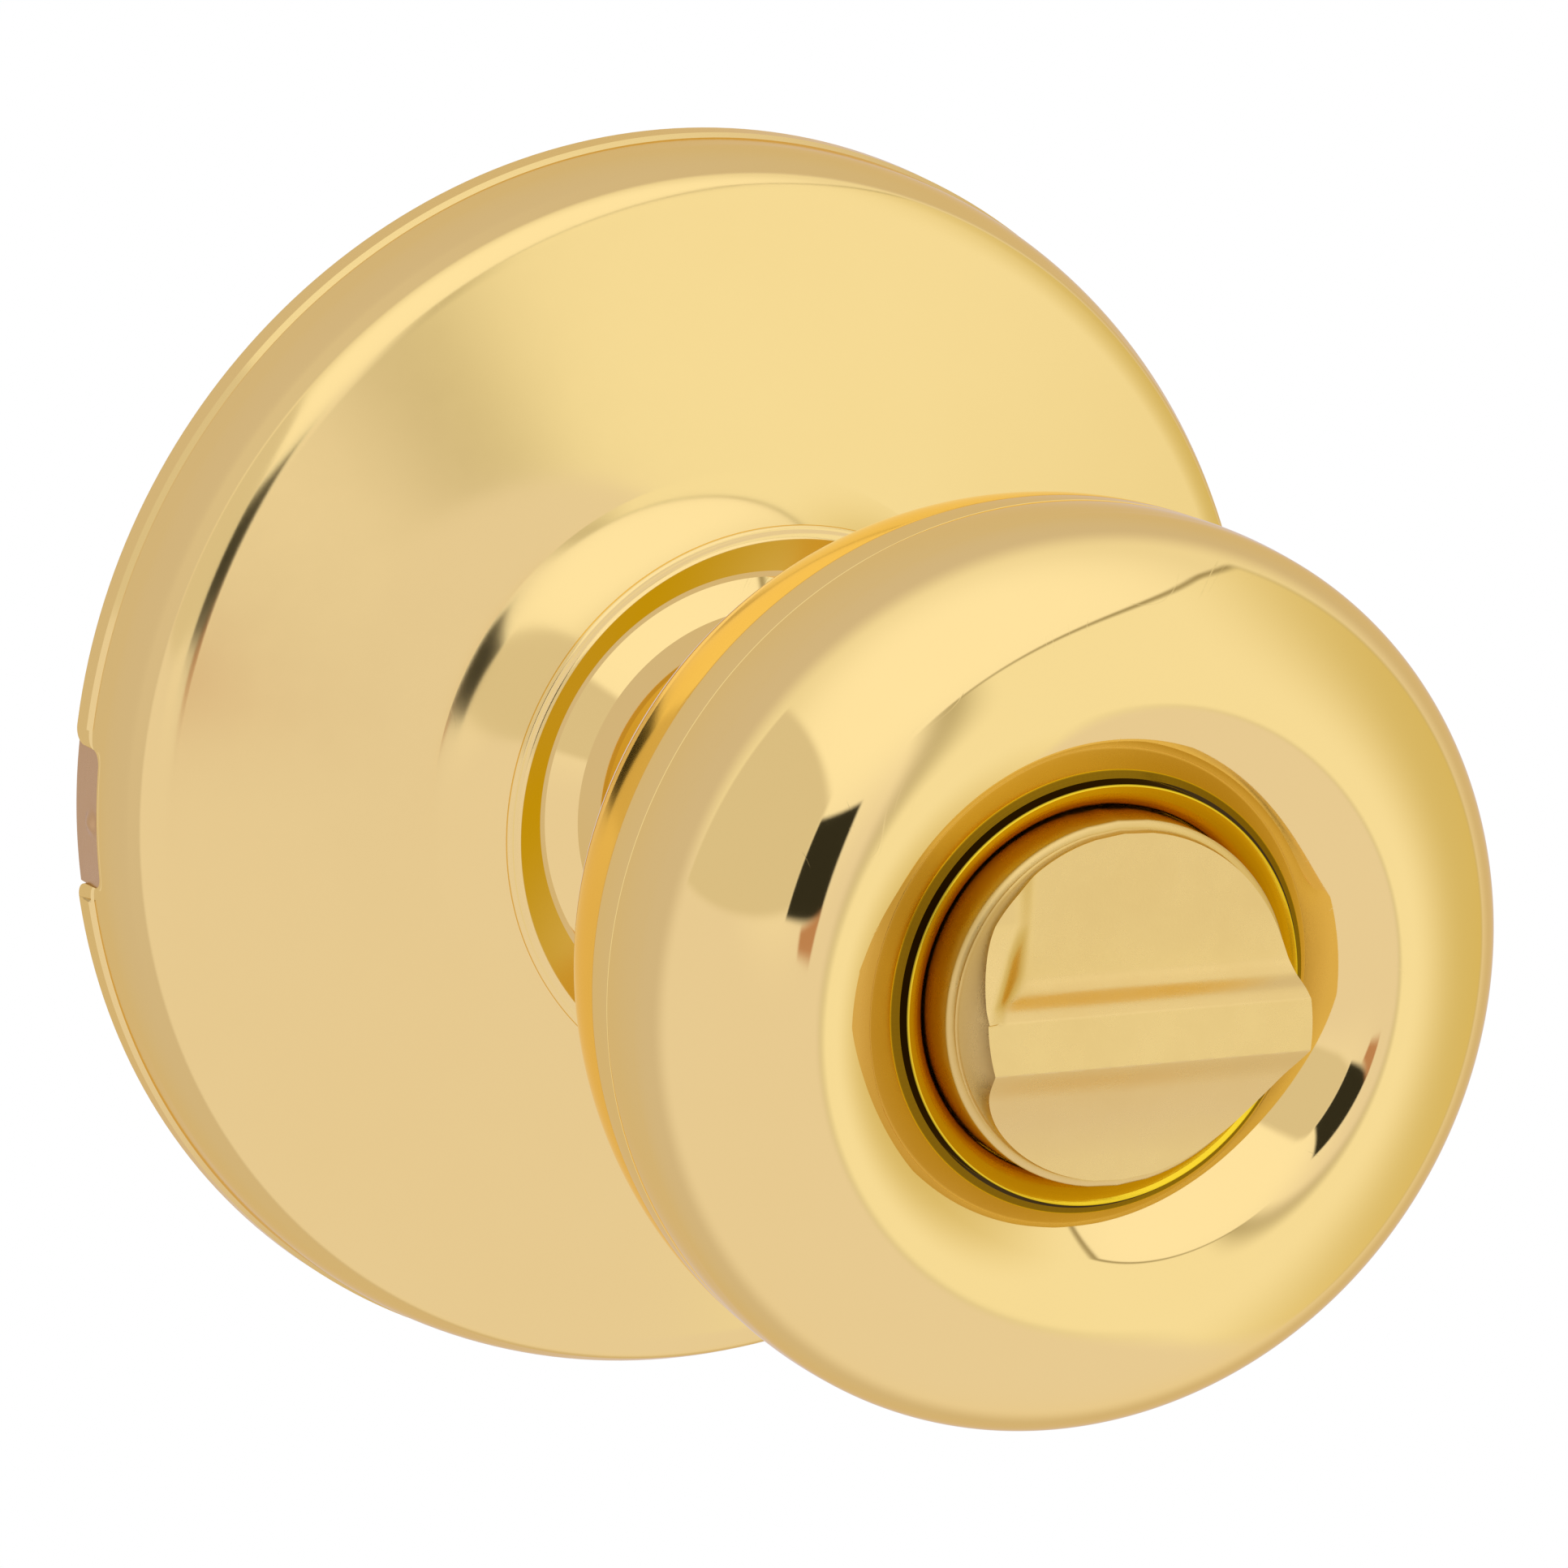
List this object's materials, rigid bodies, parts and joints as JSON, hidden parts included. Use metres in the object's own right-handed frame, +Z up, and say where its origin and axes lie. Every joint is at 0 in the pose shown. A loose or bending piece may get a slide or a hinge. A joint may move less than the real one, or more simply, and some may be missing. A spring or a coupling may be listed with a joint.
{
  "type": "door knob",
  "caption": "Interior half of a privacy door knob: round rose, sprung turning knob, and a turn button whose bar runs through the spindle to lock the latch.",
  "frame": {"origin": "where the knob's axis meets the door's face", "axes": "+Z up; +Y along the spindle into the door, so the knob stands out towards -Y; +X to the right seen from the room"},
  "size_m": [0.0652, 0.096, 0.0654],
  "materials": {
    "polished_brass": "mirror polished and lacquered",
    "cast_brass": "satin, fine cast grain",
    "plated_steel": "yellow-bronze zinc plating",
    "bright_steel": "bright zinc plating",
    "die_cast_zinc": "as cast, matt",
    "spring_steel": "oiled spring wire",
    "nylon": "moulded, off-white"
  },
  "bodies": {
    "mount": {"mounting_plate": "plated_steel", "hub_bushing": "die_cast_zinc", "spring_cage": "plated_steel", "cage_rivets": "bright_steel", "return_spring": "spring_steel"},
    "rose": {"rose_cover": "polished_brass"},
    "knob": {"knob_front": "polished_brass", "knob_back": "polished_brass", "core_plate": "plated_steel", "neck_bush": "nylon", "drive_tube": "bright_steel", "button_bezel": "polished_brass", "spindle_block": "die_cast_zinc", "spindle": "bright_steel", "spindle_pins": "bright_steel", "spring_driver": "plated_steel", "thrust_washer": "nylon", "rear_washer": "bright_steel", "retaining_ring": "spring_steel"},
    "turn_button": {"turn_button": "cast_brass", "tension_spring": "spring_steel", "button_clip": "spring_steel", "lock_bar": "bright_steel"}
  },
  "joints": [
    {"name": "knob_turn", "type": "hinge", "parent": "mount", "child": "knob", "pos_m": [0, 0, 0], "axis": [0, 1, 0], "range_deg": [-60, 60], "stiffness_Nm_per_rad": 0.25, "deforming": ["return_spring"]},
    {"name": "button_turn", "type": "hinge", "parent": "knob", "child": "turn_button", "pos_m": [0, 0, 0], "axis": [0, 1, 0], "range_deg": [0, 90]},
    {"name": "rose_slide", "type": "slide", "parent": "mount", "child": "rose", "axis": [0, -1, 0], "range_m": [0, 0.01]}
  ]
}
